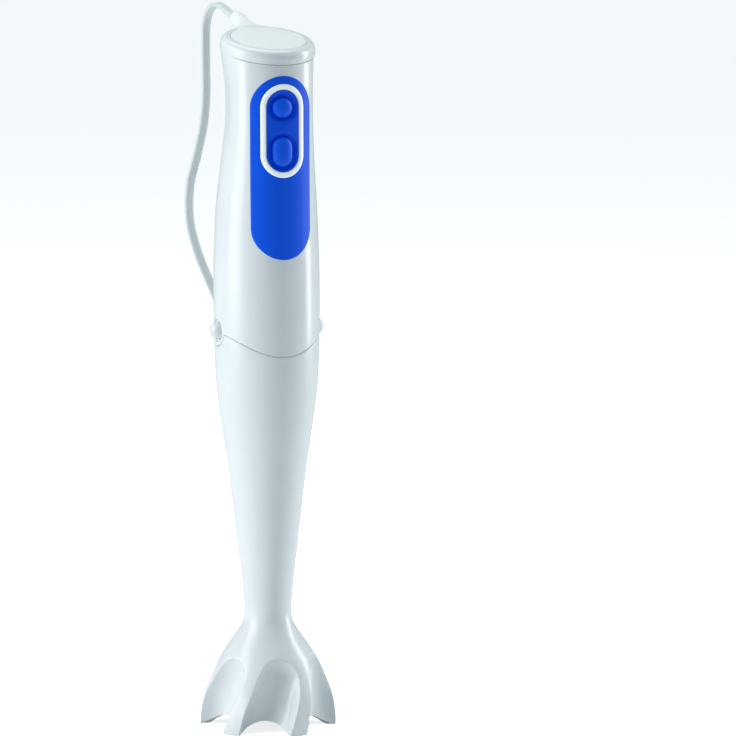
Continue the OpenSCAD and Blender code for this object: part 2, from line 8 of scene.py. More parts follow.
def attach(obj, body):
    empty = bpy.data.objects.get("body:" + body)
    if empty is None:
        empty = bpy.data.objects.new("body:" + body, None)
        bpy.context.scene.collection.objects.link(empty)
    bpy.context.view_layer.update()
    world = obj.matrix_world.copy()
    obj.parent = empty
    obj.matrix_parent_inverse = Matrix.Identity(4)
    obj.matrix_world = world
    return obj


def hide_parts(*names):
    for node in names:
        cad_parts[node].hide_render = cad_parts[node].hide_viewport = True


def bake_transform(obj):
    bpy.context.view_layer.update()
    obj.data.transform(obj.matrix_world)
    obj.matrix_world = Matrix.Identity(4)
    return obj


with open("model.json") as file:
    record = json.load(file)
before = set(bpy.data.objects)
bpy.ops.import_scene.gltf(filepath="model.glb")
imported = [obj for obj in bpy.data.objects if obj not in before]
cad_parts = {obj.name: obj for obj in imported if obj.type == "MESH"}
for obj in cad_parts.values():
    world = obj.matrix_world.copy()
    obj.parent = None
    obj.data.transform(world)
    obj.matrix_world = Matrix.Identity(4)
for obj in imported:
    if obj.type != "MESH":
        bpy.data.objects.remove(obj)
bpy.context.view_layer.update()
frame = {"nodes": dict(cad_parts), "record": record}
print("frame loaded:", len(frame["nodes"]), "nodes")

metresPerMm = 0.001   # every piece is modelled in millimetres and made metres when it is finished
nodeSlot = {part["node"]: part["material_slot"] for part in frame["record"]["subparts"]}


cameraView = {
    "azimuth": -20,         # degrees round the blender, 0 looks at the buttons
    "distance": 1.757,
    "height": 0.422,
    "aimAside": 0.051,      # the blender stands left of the middle of the view
    "aimHeight": 0.1825,
    "lens": 171.8,
}
viewTurn = math.radians(cameraView["azimuth"])
viewRight = Vector((math.cos(viewTurn), math.sin(viewTurn), 0))
viewBack = Vector((-math.sin(viewTurn), math.cos(viewTurn), 0))


def makeCamera(view):
    place = viewBack * -view["distance"] + Vector((0, 0, view["height"]))
    aim = viewRight * view["aimAside"] + Vector((0, 0, view["aimHeight"]))
    bpy.ops.object.camera_add(location=place)
    camera = bpy.context.object
    camera.rotation_euler = (aim - place).to_track_quat("-Z", "Y").to_euler()
    camera.data.lens = view["lens"]
    camera.data.sensor_width = 36
    bpy.context.scene.camera = camera


makeCamera(cameraView)
print("camera made")


def hermite(t, step, start, end, slopeIn, slopeOut):
    return ((2 * t**3 - 3 * t**2 + 1) * start + (t**3 - 2 * t**2 + t) * step * slopeIn
            + (3 * t**2 - 2 * t**3) * end + (t**3 - t**2) * step * slopeOut)


def curveThrough(keys):
    # a smooth curve through (place, value) pairs
    places = np.array([k[0] for k in keys], float)
    values = np.array([k[1] for k in keys], float)
    slopes = np.gradient(values, places)

    def at(where):
        where = np.clip(where, places[0], places[-1])
        i = np.clip(np.searchsorted(places, where) - 1, 0, len(places) - 2)
        step = places[i + 1] - places[i]
        t = (where - places[i]) / step
        return hermite(t, step, values[i], values[i + 1], slopes[i], slopes[i + 1])
    return at


def smoothStep(value, low, high):
    t = np.clip((value - low) / (high - low), 0, 1)
    return t * t * (3 - 2 * t)


def smoothMin(a, b, blend):
    h = np.clip(0.5 + 0.5 * (b - a) / blend, 0, 1)
    return b + (a - b) * h - blend * h * (1 - h)


def smoothMax(a, b, blend):
    return -smoothMin(-a, -b, blend)


def roundedBox(angle, power, wide, high):
    # place on a section that is an ellipse at power 1 and nearly a box at low powers
    c, s = np.cos(angle), np.sin(angle)
    return np.sign(c) * np.abs(c) ** power * wide, np.sign(s) * np.abs(s) ** power * high


def activate(piece):
    bpy.ops.object.select_all(action="DESELECT")
    piece.select_set(True)
    bpy.context.view_layer.objects.active = piece


def moveVertices(piece, rule):
    # rule takes the x, y and z of all vertices and gives their new places
    places = np.empty(len(piece.data.vertices) * 3)
    piece.data.vertices.foreach_get("co", places)
    x, y, z = places.reshape(-1, 3).T
    moved = np.stack(rule(x, y, z), axis=1)
    piece.data.vertices.foreach_set("co", moved.ravel())
    piece.data.update()


def drawChain(name, points, angle=0.0):
    # one vertex, extruded from point to point; points are (radius, height)
    bpy.ops.object.select_all(action="DESELECT")
    bpy.ops.mesh.primitive_plane_add(size=1, location=(0, 0, 0))
    piece = bpy.context.object
    piece.name = piece.data.name = name
    c, s = math.cos(angle), math.sin(angle)
    bpy.ops.object.mode_set(mode="EDIT")
    bpy.ops.mesh.select_all(action="SELECT")
    bpy.ops.mesh.merge(type="CENTER")
    bpy.ops.transform.translate(value=(points[0][0] * c, points[0][0] * s, points[0][1]))
    for (r0, z0), (r1, z1) in zip(points, points[1:]):
        step = ((r1 - r0) * c, (r1 - r0) * s, z1 - z0)
        bpy.ops.mesh.extrude_vertices_move(TRANSFORM_OT_translate={"value": step})
    bpy.ops.object.mode_set(mode="OBJECT")
    return piece


def spinShape(name, points, steps=96, angle=0.0, mergeAt=1e-4):
    piece = drawChain(name, points, angle)
    bpy.ops.object.mode_set(mode="EDIT")
    bpy.ops.mesh.select_all(action="SELECT")
    bpy.ops.mesh.spin(steps=steps, angle=2 * math.pi, center=(0, 0, 0), axis=(0, 0, 1))
    bpy.ops.mesh.select_all(action="SELECT")
    bpy.ops.mesh.remove_doubles(threshold=mergeAt)
    bpy.ops.mesh.normals_make_consistent(inside=False)
    bpy.ops.object.mode_set(mode="OBJECT")
    return piece


def setRightSideOut(piece, mergeAt=1e-4):
    activate(piece)
    bpy.ops.object.mode_set(mode="EDIT")
    bpy.ops.mesh.select_all(action="SELECT")
    bpy.ops.mesh.remove_doubles(threshold=mergeAt)
    bpy.ops.mesh.normals_make_consistent(inside=False)
    bpy.ops.object.mode_set(mode="OBJECT")


def cutAway(piece, cutter, operation="DIFFERENCE"):
    activate(piece)
    cut = piece.modifiers.new("cut", "BOOLEAN")
    cut.operation = operation
    cut.object = cutter
    cut.solver = "EXACT"
    bpy.ops.object.modifier_apply(modifier=cut.name)
    bpy.data.objects.remove(cutter)


def stadiumShape(name, points, low, high, steps=96, cuts=28):
    # a spun outline pulled apart into a long round-ended shape that stands in the XZ plane;
    # points are (distance from the middle line, height towards -Y)
    radius = max(p[0] for p in points)
    piece = spinShape(name, [(max(r, 0.01), h) for r, h in points], steps, math.pi / steps, 1e-6)
    half = (high - low) / 2 - radius

    def pullApart(x, y, z):
        x = np.where(np.hypot(x, y) < 0.02, 0, x)
        inward = np.where(np.hypot(x, y) < 0.02, 0, y)
        return x, -z, inward + np.sign(y) * half + (high + low) / 2
    moveVertices(piece, pullApart)
    if half > 0.5:
        activate(piece)
        bpy.context.tool_settings.mesh_select_mode = (False, True, False)
        bpy.ops.object.mode_set(mode="EDIT")
        bpy.ops.mesh.select_all(action="DESELECT")
        bpy.ops.object.mode_set(mode="OBJECT")
        place = [v.co for v in piece.data.vertices]
        for edge in piece.data.edges:
            a, b = edge.vertices
            edge.select = (place[a] - place[b]).length > half * 1.9
        bpy.ops.object.mode_set(mode="EDIT")
        bpy.ops.mesh.subdivide(number_cuts=cuts)
        bpy.ops.object.mode_set(mode="OBJECT")
        bpy.context.tool_settings.mesh_select_mode = (True, False, False)
    setRightSideOut(piece, 0.005)
    return piece


def finish(piece, material, body, *nodes, angle=35):
    # shading, metres, material, the body it rides with, and hiding the frame's nodes that it stands in for
    activate(piece)
    bpy.ops.object.shade_smooth_by_angle(angle=math.radians(angle))
    piece.data.transform(Matrix.Scale(metresPerMm, 4))
    piece.data.materials.clear()
    piece.data.materials.append(material)
    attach(piece, body)
    if nodes:
        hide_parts(*nodes)
    return piece


def startGroup(name, inputs, outputs):
    group = bpy.data.node_groups.new(name, "ShaderNodeTree")
    for label, kind, value in inputs:
        socket = group.interface.new_socket(name=label, in_out="INPUT", socket_type=kind)
        if value is not None:
            socket.default_value = value
    for label, kind in outputs:
        group.interface.new_socket(name=label, in_out="OUTPUT", socket_type=kind)
    return group, group.nodes.new("NodeGroupInput"), group.nodes.new("NodeGroupOutput")


def mathNode(tree, operation, a, b=None):
    node = tree.nodes.new("ShaderNodeMath")
    node.operation = operation
    for socket, value in zip(node.inputs, (a, b)):
        if isinstance(value, (int, float)):
            socket.default_value = value
        elif value is not None:
            tree.links.new(value, socket)
    return node.outputs[0]


def makeGrainGroup():
    # fine eroded mould texture: a height for a bump and a roughness that drifts a little
    group, inside, outside = startGroup(
        "mouldGrain",
        [("Scale", "NodeSocketFloat", 900.0), ("Roughness", "NodeSocketFloat", 0.35),
         ("Spread", "NodeSocketFloat", 0.06)],
        [("Height", "NodeSocketFloat"), ("Roughness", "NodeSocketFloat")])
    where = group.nodes.new("ShaderNodeTexCoord")
    fine = group.nodes.new("ShaderNodeTexNoise")
    fine.inputs["Detail"].default_value = 3
    broad = group.nodes.new("ShaderNodeTexNoise")
    broad.inputs["Scale"].default_value = 28
    broad.inputs["Detail"].default_value = 4
    group.links.new(where.outputs["Object"], fine.inputs["Vector"])
    group.links.new(where.outputs["Object"], broad.inputs["Vector"])
    group.links.new(inside.outputs["Scale"], fine.inputs["Scale"])
    drift = mathNode(group, "SUBTRACT", broad.outputs["Fac"], 0.5)
    drift = mathNode(group, "MULTIPLY", drift, inside.outputs["Spread"])
    rough = mathNode(group, "ADD", drift, inside.outputs["Roughness"])
    group.links.new(fine.outputs["Fac"], outside.inputs["Height"])
    group.links.new(rough, outside.inputs["Roughness"])
    return group


def makeToneGroup():
    # colour that drifts between two near tones
    group, inside, outside = startGroup(
        "toneDrift",
        [("Colour", "NodeSocketColor", None), ("Shade", "NodeSocketColor", None),
         ("Scale", "NodeSocketFloat", 30.0)],
        [("Colour", "NodeSocketColor")])
    where = group.nodes.new("ShaderNodeTexCoord")
    noise = group.nodes.new("ShaderNodeTexNoise")
    noise.inputs["Detail"].default_value = 5
    noise.inputs["Roughness"].default_value = 0.6
    ramp = group.nodes.new("ShaderNodeMapRange")
    ramp.inputs["From Min"].default_value = 0.35
    ramp.inputs["From Max"].default_value = 0.7
    mix = group.nodes.new("ShaderNodeMix")
    mix.data_type = "RGBA"
    group.links.new(where.outputs["Object"], noise.inputs["Vector"])
    group.links.new(inside.outputs["Scale"], noise.inputs["Scale"])
    group.links.new(noise.outputs["Fac"], ramp.inputs["Value"])
    group.links.new(ramp.outputs["Result"], mix.inputs["Factor"])
    group.links.new(inside.outputs["Colour"], mix.inputs["A"])
    group.links.new(inside.outputs["Shade"], mix.inputs["B"])
    group.links.new(mix.outputs["Result"], outside.inputs["Colour"])
    return group


def makeBrushedGroup():
    # marks of grinding, stretched along one direction
    group, inside, outside = startGroup(
        "groundSteel",
        [("Along", "NodeSocketVector", (40.0, 40.0, 2500.0)), ("Roughness", "NodeSocketFloat", 0.28)],
        [("Height", "NodeSocketFloat"), ("Roughness", "NodeSocketFloat")])
    where = group.nodes.new("ShaderNodeTexCoord")
    stretch = group.nodes.new("ShaderNodeVectorMath")
    stretch.operation = "MULTIPLY"
    noise = group.nodes.new("ShaderNodeTexNoise")
    noise.inputs["Scale"].default_value = 1
    noise.inputs["Detail"].default_value = 4
    group.links.new(where.outputs["Object"], stretch.inputs[0])
    group.links.new(inside.outputs["Along"], stretch.inputs[1])
    group.links.new(stretch.outputs["Vector"], noise.inputs["Vector"])
    drift = mathNode(group, "MULTIPLY", mathNode(group, "SUBTRACT", noise.outputs["Fac"], 0.5), 0.25)
    group.links.new(mathNode(group, "ADD", drift, inside.outputs["Roughness"]), outside.inputs["Roughness"])
    group.links.new(noise.outputs["Fac"], outside.inputs["Height"])
    return group


grainGroup = makeGrainGroup()
toneGroup = makeToneGroup()
brushedGroup = makeBrushedGroup()


def placeGroup(tree, group, values):
    node = tree.nodes.new("ShaderNodeGroup")
    node.node_tree = group
    for label, value in values.items():
        node.inputs[label].default_value = value
    return node


def startMaterial(name):
    material = bpy.data.materials.new(name)
    material.use_nodes = True
    return material, material.node_tree, material.node_tree.nodes["Principled BSDF"]


def bumpFrom(tree, height, strength, distance):
    bump = tree.nodes.new("ShaderNodeBump")
    bump.inputs["Strength"].default_value = strength
    bump.inputs["Distance"].default_value = distance
    tree.links.new(height, bump.inputs["Height"])
    return bump.outputs["Normal"]


def plastic(name, colour, shade, roughness, grain=0.12, grainScale=900, coat=0.0, spread=0.06, specular=0.5,
            paintedGlow=0.0):
    material, tree, shader = startMaterial(name)
    tone = placeGroup(tree, toneGroup, {"Colour": (*colour, 1), "Shade": (*shade, 1)})
    mould = placeGroup(tree, grainGroup, {"Scale": grainScale, "Roughness": roughness, "Spread": spread})
    tree.links.new(tone.outputs["Colour"], shader.inputs["Base Color"])
    tree.links.new(mould.outputs["Roughness"], shader.inputs["Roughness"])
    tree.links.new(bumpFrom(tree, mould.outputs["Height"], grain, 0.0002), shader.inputs["Normal"])
    shader.inputs["Coat Weight"].default_value = coat
    shader.inputs["Coat Roughness"].default_value = 0.12
    shader.inputs["Specular IOR Level"].default_value = specular
    # optional glow of its own: painted brightness for a part that is no lamp
    shader.inputs["Emission Color"].default_value = (0.9, 0.97, 1.0, 1)
    shader.inputs["Emission Strength"].default_value = paintedGlow
    return material


def metal(name, colour, shade, roughness, along=(40, 40, 2500), grain=0.1):
    material, tree, shader = startMaterial(name)
    tone = placeGroup(tree, toneGroup, {"Colour": (*colour, 1), "Shade": (*shade, 1), "Scale": 90})
    marks = placeGroup(tree, brushedGroup, {"Along": along, "Roughness": roughness})
    tree.links.new(tone.outputs["Colour"], shader.inputs["Base Color"])
    tree.links.new(marks.outputs["Roughness"], shader.inputs["Roughness"])
    tree.links.new(bumpFrom(tree, marks.outputs["Height"], grain, 0.0001), shader.inputs["Normal"])
    shader.inputs["Metallic"].default_value = 1
    return material


whitePlastic = plastic("whitePlastic", (0.86, 0.9, 0.915), (0.83, 0.875, 0.895), 0.3, 0.05, 1400, 0.25)
capPlastic = plastic("capPlastic", (0.9, 0.95, 0.95), (0.88, 0.935, 0.935), 0.5, 0.25, 1600)
# the ring's faint glow of its own is painted brightness that makes it look lit whiter than the casing
ringPlastic = plastic("ringPlastic", (0.96, 0.975, 0.98), (0.94, 0.96, 0.97), 0.3, 0.05, 1400, 0.4, paintedGlow=0.22)
blueGrip = plastic("blueGrip", (0.001, 0.115, 0.98), (0.001, 0.105, 0.92), 0.45, 0.3, 1500, specular=0.18)
blueButton = plastic("blueButton", (0.001, 0.125, 1.0), (0.001, 0.115, 0.96), 0.42, 0.2, 1500, specular=0.25)
bluePlate = plastic("bluePlate", (0.001, 0.1, 0.95), (0.001, 0.09, 0.88), 0.42, 0.25, 1500, specular=0.2)
cordSheath = plastic("cordSheath", (0.74, 0.79, 0.8), (0.7, 0.76, 0.77), 0.45, 0.25, 1100)
greyPlastic = plastic("greyPlastic", (0.36, 0.39, 0.41), (0.3, 0.33, 0.35), 0.5, 0.35, 700)
darkPlastic = plastic("darkPlastic", (0.035, 0.035, 0.04), (0.02, 0.02, 0.024), 0.45, 0.3, 700)
softRubber = plastic("softRubber", (0.03, 0.03, 0.033), (0.018, 0.018, 0.02), 0.7, 0.5, 500)
carbonBlock = plastic("carbonBlock", (0.02, 0.02, 0.022), (0.035, 0.035, 0.037), 0.6, 0.6, 1800)
circuitLacquer = plastic("circuitLacquer", (0.01, 0.12, 0.035), (0.008, 0.085, 0.025), 0.3, 0.2, 600, 0.3)
capacitorResin = plastic("capacitorResin", (0.62, 0.4, 0.03), (0.55, 0.34, 0.02), 0.4, 0.2, 500)
wireSheath = plastic("wireSheath", (0.16, 0.08, 0.035), (0.12, 0.06, 0.025), 0.45, 0.2, 500)
brightSteel = metal("brightSteel", (0.66, 0.67, 0.69), (0.6, 0.61, 0.63), 0.24)
laminationSteel = metal("laminationSteel", (0.3, 0.32, 0.36), (0.24, 0.26, 0.3), 0.45, (30, 30, 9000), 0.6)
copperWire = metal("copperWire", (0.72, 0.3, 0.12), (0.55, 0.2, 0.07), 0.32, (900, 900, 5000), 0.8)
brassMetal = metal("brassMetal", (0.72, 0.5, 0.2), (0.62, 0.42, 0.16), 0.3)
bronzeBush = metal("bronzeBush", (0.5, 0.3, 0.15), (0.4, 0.23, 0.11), 0.5, (600, 600, 600), 0.5)

slotMaterial = {
    "white_plastic": whitePlastic, "blue_grip": blueGrip, "cap_plastic": capPlastic,
    "blue_button": blueButton, "cord_sheath": cordSheath, "grey_plastic": greyPlastic,
    "dark_plastic": darkPlastic, "soft_rubber": softRubber, "bright_steel": brightSteel,
    "laminations": laminationSteel, "copper_wire": copperWire, "brass_metal": brassMetal,
    "bronze_bush": bronzeBush, "carbon_block": carbonBlock, "circuit_board": circuitLacquer,
    "capacitor_film": capacitorResin, "wire_sheath": wireSheath,
}
for nodeName, node in frame["nodes"].items():
    node.data.materials.clear()
    node.data.materials.append(slotMaterial[nodeSlot[nodeName]])
print("materials made")


cordSettings = {
    "width": 4.9, "thickness": 2.7,
    "turn": -20,                         # the hank lies straight behind the handle, as it is seen
    "near": 74.75, "far": 135.25,        # centres of the hank's two folds
    "outer": 18.1, "inner": 14.9,        # radii of the outer and the inner turns
    "tieAt": 107, "pinch": 9,
    "floor": 2.5, "second": 7.4, "third": 12.4,   # heights of the three layers
    "plugEnd": (0, 103, 17.2),           # where the cord enters the plug's relief
    "length": 1.16,
}
cordRoute = [
    (0, 43.5, 357.05), (0, 47.5, 357.95), (0, 52, 359), (0, 58.5, 360.6), (0, 65.5, 362.3), (0, 72.5, 363.2),
    (0, 79.8, 362), (0, 86.6, 358.4), (0, 90.5, 352.4), (0, 91.6, 345), (0, 91.5, 332), (0, 91.5, 316),
    (-1.5, 91.5, 300), (-5, 92, 284), (-8.5, 93.5, 268), (-8, 96, 250), (-2.5, 99, 232), (7, 103, 212),
    (18, 108, 190), (28, 113, 165), (36, 118, 140), (43, 123, 112), (49, 128, 84), (54.5, 132.5, 60),
    (58.3, 136, 43), (60.3, 138, 31), (60.1, 138.9, 22.5), (57.4, 141.4, 15), (52.4, 144.1, 9),
    (46.3, 145.2, 5.2), (40.1, 144.1, 3.1), (34.6, 141, 2.5),
]


def hankPath(s):
    # turns of the hank as (aside, back, height), each fold worked out as an arc
    points = []

    def fold(centre, fromAngle, toAngle, fromR, toR, fromZ, toZ, steps=9):
        for i in range(1, steps + 1):
            t = i / steps
            a = math.radians(fromAngle + (toAngle - fromAngle) * t)
            r = fromR + (toR - fromR) * t
            points.append((r * math.cos(a), centre + r * math.sin(a), fromZ + (toZ - fromZ) * t))

    def run(aside, toAside, back, toBack, z, toZ, steps=9):
        # the straight stretches draw together under the tie
        for i in range(1, steps + 1):
            t = i / steps
            ease = t * t * (3 - 2 * t)
            place, along = aside + (toAside - aside) * ease, back + (toBack - back) * t
            if toZ <= s["second"]:
                place -= math.copysign(s["pinch"] * math.exp(-((along - s["tieAt"]) / 17) ** 2), place)
            points.append((place, along, z + (toZ - z) * ease))

    outer, inner, low, mid, top = s["outer"], s["inner"], s["floor"], s["second"], s["third"]
    near, far = s["near"], s["far"]
    fold(far, 150, 180, outer, outer, low, low, 2)
    run(-outer, -outer, far, near, low, low)
    fold(near, 180, 360, outer, outer, low, low)
    run(outer, outer, near, far, low, low)
    fold(far, 0, 180, outer, inner, low, low)
    run(-inner, -inner, far, near, low, low)
    fold(near, 180, 360, inner, inner, low, low)
    run(inner, inner, near, far, low, mid)
    fold(far, 0, 180, inner, inner, mid, mid)
    run(-inner, -inner, far, near, mid, mid)
    fold(near, 180, 360, inner, outer, mid, mid)
    run(outer, outer, near, near + 40, mid, mid, 6)
    run(outer - s["pinch"] * math.exp(-((near + 40 - s["tieAt"]) / 17) ** 2), inner, near + 40, far, mid, top, 4)
    fold(far, 0, 180, inner, inner, top, top)
    run(-inner, s["plugEnd"][0], far, s["plugEnd"][1], top, s["plugEnd"][2], 6)
    return points


def smoothPath(points, spacing):
    # a curve through all points, then points at an even spacing along it
    p = np.array(points, float)
    along = np.concatenate([[0], np.cumsum(np.linalg.norm(np.diff(p, axis=0), axis=1) ** 0.5)])
    slopes = np.gradient(p, along, axis=0)
    fine = []
    for i in range(len(p) - 1):
        step = along[i + 1] - along[i]
        t = np.linspace(0, 1, 24, endpoint=False)[:, None]
        fine.append(hermite(t, step, p[i], p[i + 1], slopes[i], slopes[i + 1]))
    fine = np.vstack(fine + [p[-1:]])
    length = np.concatenate([[0], np.cumsum(np.linalg.norm(np.diff(fine, axis=0), axis=1))])
    even = np.linspace(0, length[-1], int(length[-1] / spacing) + 1)
    return np.stack([np.interp(even, length, fine[:, k]) for k in range(3)], axis=1)


def behind(point, turn):
    # from (aside, back, height), as the camera sees it, to the blender's own directions
    a = math.radians(turn)
    aside, back, z = point
    return (aside * math.cos(a) - back * math.sin(a), aside * math.sin(a) + back * math.cos(a), z)


def sweepFlatTube(name, path, width, thickness, sides, edgeFrom, edgeTo):
    # the flat section's wide side lies along X at the top and turns upright on the floor
    tangents = np.gradient(path, axis=0)
    tangents /= np.linalg.norm(tangents, axis=1)[:, None]
    steps = np.linspace(0, 1, len(path))
    upright = smoothStep(steps, edgeFrom, edgeTo)[:, None]
    wide = np.array([1.0, 0, 0]) * (1 - upright) + np.array([0, 0, 1.0]) * upright
    wide = wide - (wide * tangents).sum(axis=1)[:, None] * tangents
    wide /= np.linalg.norm(wide, axis=1)[:, None]
    thin = np.cross(tangents, wide)
    turns = np.arange(sides) * 2 * math.pi / sides
    c, s = np.cos(turns), np.sin(turns)
    acrossWide = np.sign(c) * np.abs(c) ** 0.8 * width / 2
    acrossThin = np.sign(s) * np.abs(s) ** 0.7 * thickness / 2 * (1 - 0.14 * np.exp(-(c / 0.28) ** 2))
    rings = path[:, None] + wide[:, None] * acrossWide[None, :, None] + thin[:, None] * acrossThin[None, :, None]
    n, m = len(path), sides
    faces = [(i * m + j, i * m + (j + 1) % m, (i + 1) * m + (j + 1) % m, (i + 1) * m + j)
             for i in range(n - 1) for j in range(m)]
    faces += [tuple(range(m - 1, -1, -1)), tuple(range((n - 1) * m, n * m))]
    mesh = bpy.data.meshes.new(name)
    mesh.from_pydata(rings.reshape(-1, 3).tolist(), [], faces)
    piece = bpy.data.objects.new(name, mesh)
    bpy.context.scene.collection.objects.link(piece)
    setRightSideOut(piece)
    return piece


def makeCord(s):
    points = cordRoute + [behind(p, s["turn"]) for p in hankPath(s)]
    path = smoothPath(points, 2.2)
    piece = sweepFlatTube("flatCord", path, s["width"], s["thickness"], 16, 0.2, 0.37)
    activate(piece)
    bpy.ops.object.shade_smooth_by_angle(angle=math.radians(50))
    piece.data.transform(Matrix.Scale(metresPerMm, 4))
    piece.data.materials.append(cordSheath)
    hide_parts("power_cord", "cord_hank")
    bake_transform(piece)
    return piece, path * metresPerMm


flatCord, cordPath = makeCord(cordSettings)
print("cord made, length", round(float(np.linalg.norm(np.diff(cordPath, axis=0), axis=1).sum()), 4))


plugSettings = {
    "near": 52.5, "height": 17.2,
    "body": 30, "relief": 20.5,
    "halfWidth": 17.4, "halfThickness": 6.9,
    "pinRadius": 2.0, "pinSpacing": 9.2, "pinLength": 18.0, "sleeve": 9.0,
}


def layBehind(piece, turn):
    # turns a piece built in (aside, back, height) to where it lies
    def rule(x, y, z):
        a = math.radians(turn)
        return x * math.cos(a) - y * math.sin(a), x * math.sin(a) + y * math.cos(a), z
    moveVertices(piece, rule)


def makePlug(s):
    total = s["body"] + s["relief"]
    stations = [0, 0.35, 1.2, 4, 8, 12, 15, 17, 19, 21, 23, 25, 27, 29, 30]
    stations += [30.5 + i * (total - 30.5) / 22 for i in range(23)]
    outline = [(0.01, 0)] + [(10.0, z) for z in stations] + [(0.01, total)]
    piece = spinShape("mainsPlug", outline, 72)
    halfWidth = curveThrough([(0, 16.6), (1.2, 17.4), (8, 17.4), (15, 17.2), (20, 14.6), (25, 11.0),
                              (29, 7.4), (31, 4.9), (40, 4.1), (total, 3.3)])
    halfThick = curveThrough([(0, 6.2), (1.2, 6.9), (8, 6.9), (18, 6.8), (25, 6.0), (30, 4.6),
                              (40, 3.8), (total, 2.9)])

    def shape(x, y, z):
        r = np.hypot(x, y) / 10
        a = np.arctan2(y, x)
        ribs = np.where((z > 32) & (z < total - 1.5), 0.45 * np.sin((z - 32) * 1.9) ** 2, 0)
        power = 0.5 + 0.5 * smoothStep(z, 24, 31)
        wide, high = roundedBox(a, power, halfWidth(z) - ribs, halfThick(z) - ribs)
        return wide * r, s["near"] + z, high * r + s["height"]
    moveVertices(piece, shape)
    setRightSideOut(piece)
    layBehind(piece, cordSettings["turn"])
    return finish(piece, whitePlastic, "blending_shaft", "mains_plug")


def makePins(s):
    tip = s["pinLength"]
    r = s["pinRadius"]
    metalPart = [(0.01, -3), (r - 0.12, -3), (r - 0.12, s["sleeve"]), (r, s["sleeve"] + 0.1), (r, tip - 1.6),
                 (r * 0.9, tip - 0.8), (r * 0.6, tip - 0.2), (0.01, tip)]
    sleevePart = [(r - 0.12, 0), (r, 0), (r, s["sleeve"]), (r - 0.12, s["sleeve"]), (r - 0.12, 0)]
    for name, outline, material, nodes in (("plugPins", metalPart, brightSteel, ["plug_pins"]),
                                           ("pinSleeves", sleevePart, whitePlastic, [])):
        pair = []
        for side in (-1, 1):
            pin = spinShape(name, outline, 40)
            moveVertices(pin, lambda x, y, z: (x + side * s["pinSpacing"], s["near"] - z, y + s["height"]))
            pair.append(pin)
        activate(pair[0])
        pair[1].select_set(True)
        bpy.ops.object.join()
        setRightSideOut(pair[0])
        layBehind(pair[0], cordSettings["turn"])
        pins = finish(pair[0], material, "blending_shaft", *nodes)


tieSettings = {
    "halfBelt": 4.0, "wall": 0.95,
    "halfWidth": 10.7, "halfHeight": 4.75, "height": 5.75, "corner": 0.28,
}


def makeTie(s):
    inner, belt = 9.2, s["halfBelt"]      # spun round, then squared to the bundle
    outer = inner + s["wall"]
    outline = [(inner, -belt), (outer - 0.15, -belt), (outer, 0.3 - belt), (outer, belt - 0.3),
               (outer - 0.15, belt), (inner, belt), (inner, -belt)]
    piece = spinShape("hankTie", outline, 120)

    def shape(x, y, z):
        # a belt with rounded corners round the bundle
        off = np.hypot(x, y) - inner
        wide, high = roundedBox(np.arctan2(y, x), s["corner"], s["halfWidth"] + off, s["halfHeight"] + off)
        return wide, cordSettings["tieAt"] + z, high + s["height"]
    moveVertices(piece, shape)
    setRightSideOut(piece)
    layBehind(piece, cordSettings["turn"])
    finish(piece, softRubber, "blending_shaft", "hank_tie")


mainsPlug = makePlug(plugSettings)
makePins(plugSettings)
makeTie(tieSettings)
print("plug and tie made")


shaftSettings = {
    "wall": 2.4,
    "fluteR": 12.4, "fluteAxisR": 35.5, "fluteTopR": 32.0, "fluteTop": 29.5, "fluteLean": 10.0, "fluteSide": -2.5,
    "fluteDirection": -110.0,
    "edge": 0.45,                      # how softly a flute's edge is rounded
    "archR": 16.0, "archHeight": 6.0,
    "seamR": 37.0, "seamZ": 165.5, "lobeR": 7.5, "lobeZ": 203.0, "seamGap": 0.38,
    "steps": 420,
}
outerLine = curveThrough([
    (0, 34.8), (6, 34.35), (12, 33.4), (18, 31.7), (24, 29.5), (30, 26.9), (36, 23.7), (42, 19.7), (47, 16.2),
    (51, 13.8), (55, 12.35), (59, 12.0), (66, 12.5), (75, 13.2), (90, 15.0), (105, 16.7), (120, 18.4),
    (135, 20.2), (150, 22.5), (165, 24.6), (175, 25.6), (185, 26.2), (196, 26.5), (207, 26.6)])


def seamHeight(y, s):
    # an arch across the handle, with a round lobe under each release button
    arch = s["seamZ"] + np.sqrt(np.maximum(s["seamR"] ** 2 - y ** 2, 1))
    lobe = s["lobeZ"] - np.sqrt(np.maximum(s["lobeR"] ** 2 - y ** 2, 0))
    lobe = np.where(np.abs(y) < s["lobeR"], lobe, s["lobeZ"] + np.abs(y) - s["lobeR"])
    return smoothMin(arch, lobe, 0.5)


def flutedRadius(angle, height, limit, grow, s):
    # the largest radius up to limit that stays outside all six scooped flutes
    foot = np.array([s["fluteAxisR"], s["fluteSide"], 0.0])
    rise = np.array([s["fluteTopR"] - s["fluteAxisR"], s["fluteLean"], s["fluteTop"]])
    length = np.linalg.norm(rise)
    rise = rise / length
    fractions = np.linspace(0.3, 1.02, 140)
    radii = limit[:, None] * fractions[None, :]
    blocked = np.full(radii.shape, -1e3)
    for k in range(6):
        turn = angle - math.radians(s["fluteDirection"] + 60 * k)
        turn = (turn + math.pi) % (2 * math.pi) - math.pi
        close = np.abs(turn) < math.radians(52)
        px = radii[close] * np.cos(turn[close])[:, None] - foot[0]
        py = radii[close] * np.sin(turn[close])[:, None] - foot[1]
        pz = np.repeat(height[close][:, None], len(fractions), axis=1)
        along = np.minimum(px * rise[0] + py * rise[1] + pz * rise[2], length)
        away = np.sqrt((px - along * rise[0]) ** 2 + (py - along * rise[1]) ** 2 + (pz - along * rise[2]) ** 2)
        blocked[close] = np.maximum(blocked[close], s["fluteR"] + grow - away)
    outside = smoothMax(radii - limit[:, None], blocked, s["edge"])
    first = np.argmax(outside > 0, axis=1)
    row = np.arange(len(limit))
    before, after = outside[row, first - 1], outside[row, first]
    t = np.where(after > before, -before / np.maximum(after - before, 1e-9), 0)
    return limit * (fractions[first - 1] + (fractions[first] - fractions[first - 1]) * np.clip(t, 0, 1))


